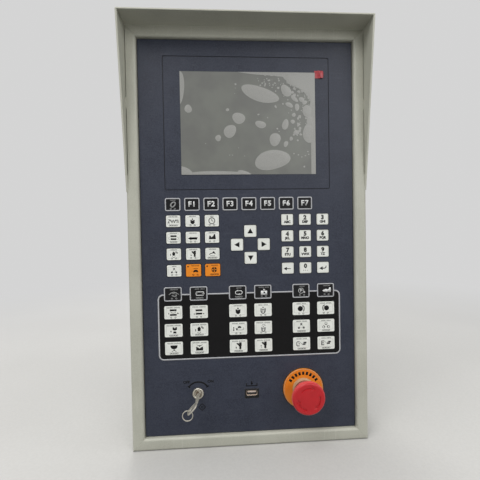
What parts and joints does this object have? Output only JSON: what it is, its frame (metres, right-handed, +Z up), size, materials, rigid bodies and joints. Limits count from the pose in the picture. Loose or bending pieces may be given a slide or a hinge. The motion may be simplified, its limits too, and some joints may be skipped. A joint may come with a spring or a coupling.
{
  "type": "injection moulding machine control panel",
  "caption": "Wall-bolted operator control panel in a hooded sheet metal box: filmed display, membrane keys, key switch with key and ring, data port and push-in twist-out stop button.",
  "frame": {"origin": "middle of the bolt pattern on the flat back face of the rear mounting plate", "axes": "+X to the operator's right, +Z up, the panel looks towards -Y, +Y runs into the machine"},
  "size_m": [0.304, 0.1701, 0.532],
  "materials": {
    "housing_paint": "fine textured grey-green paint",
    "plate_metal": "bare sheet",
    "membrane": "printed membrane, fine grain",
    "display_glass": "dark display glass",
    "module_case": "plain",
    "clear_film": "clear film with bubbles",
    "red_tab": "thin glossy tab",
    "dark_print": "printed membrane",
    "white_key": "printed membrane",
    "orange_key": "printed membrane",
    "lock_metal": "nickel plated",
    "key_metal": "nickel plated, worn",
    "black_plastic": "moulded",
    "yellow_plastic": "moulded disc",
    "cream_plastic": "moulded",
    "red_plastic": "moulded, satin"
  },
  "bodies": {
    "housing": {"left_wall": "housing_paint", "right_wall": "housing_paint", "top_wall": "housing_paint", "bottom_wall": "housing_paint", "rear_cover": "housing_paint", "mount_neck": "housing_paint", "mounting_plate": "housing_paint", "panel_carrier": "housing_paint", "panel_plate": "plate_metal", "panel_overlay": "membrane", "display_frame": "membrane", "display_glass": "display_glass", "display_module": "module_case", "screen_film": "clear_film", "film_tab": "red_tab", "function_keys": "dark_print", "mode_keys": "dark_print", "operation_field": "dark_print", "menu_keys": "white_key", "arrow_keys": "white_key", "number_keys": "white_key", "operation_keys": "white_key", "heater_keys": "orange_key", "lock_barrel": "lock_metal", "lock_nut": "lock_metal", "port_shell": "lock_metal", "port_insert": "black_plastic", "port_tongue": "black_plastic", "stop_nut": "black_plastic", "stop_disc": "yellow_plastic", "stop_collar": "cream_plastic"},
    "plunger": {"stop_plunger": "black_plastic"},
    "mushroom": {"stop_head": "red_plastic"},
    "lock": {"lock_core": "lock_metal", "key": "key_metal"},
    "ring": {"key_ring": "key_metal"}
  },
  "joints": [
    {"name": "stop_press", "type": "slide", "parent": "housing", "child": "plunger", "axis": [0, 1, 0], "range_m": [0, 0.004], "stiffness_N_per_m": 4000, "springref_m": -0.003},
    {"name": "stop_twist", "type": "hinge", "parent": "plunger", "child": "mushroom", "pos_m": [0.0673, -0.136, -0.197], "axis": [0, 1, 0], "range_deg": [0, 40], "stiffness_Nm_per_rad": 0.08, "springref_deg": -11.46},
    {"name": "key_turn", "type": "hinge", "parent": "housing", "child": "lock", "pos_m": [-0.069, -0.136, -0.197], "axis": [0, -1, 0], "range_deg": [0, 90]},
    {"name": "ring_swing", "type": "hinge", "parent": "lock", "child": "ring", "pos_m": [-0.07487, -0.1642, -0.20287], "axis": [0.7071, 0, -0.7071], "range_deg": [-45, 45]}
  ]
}
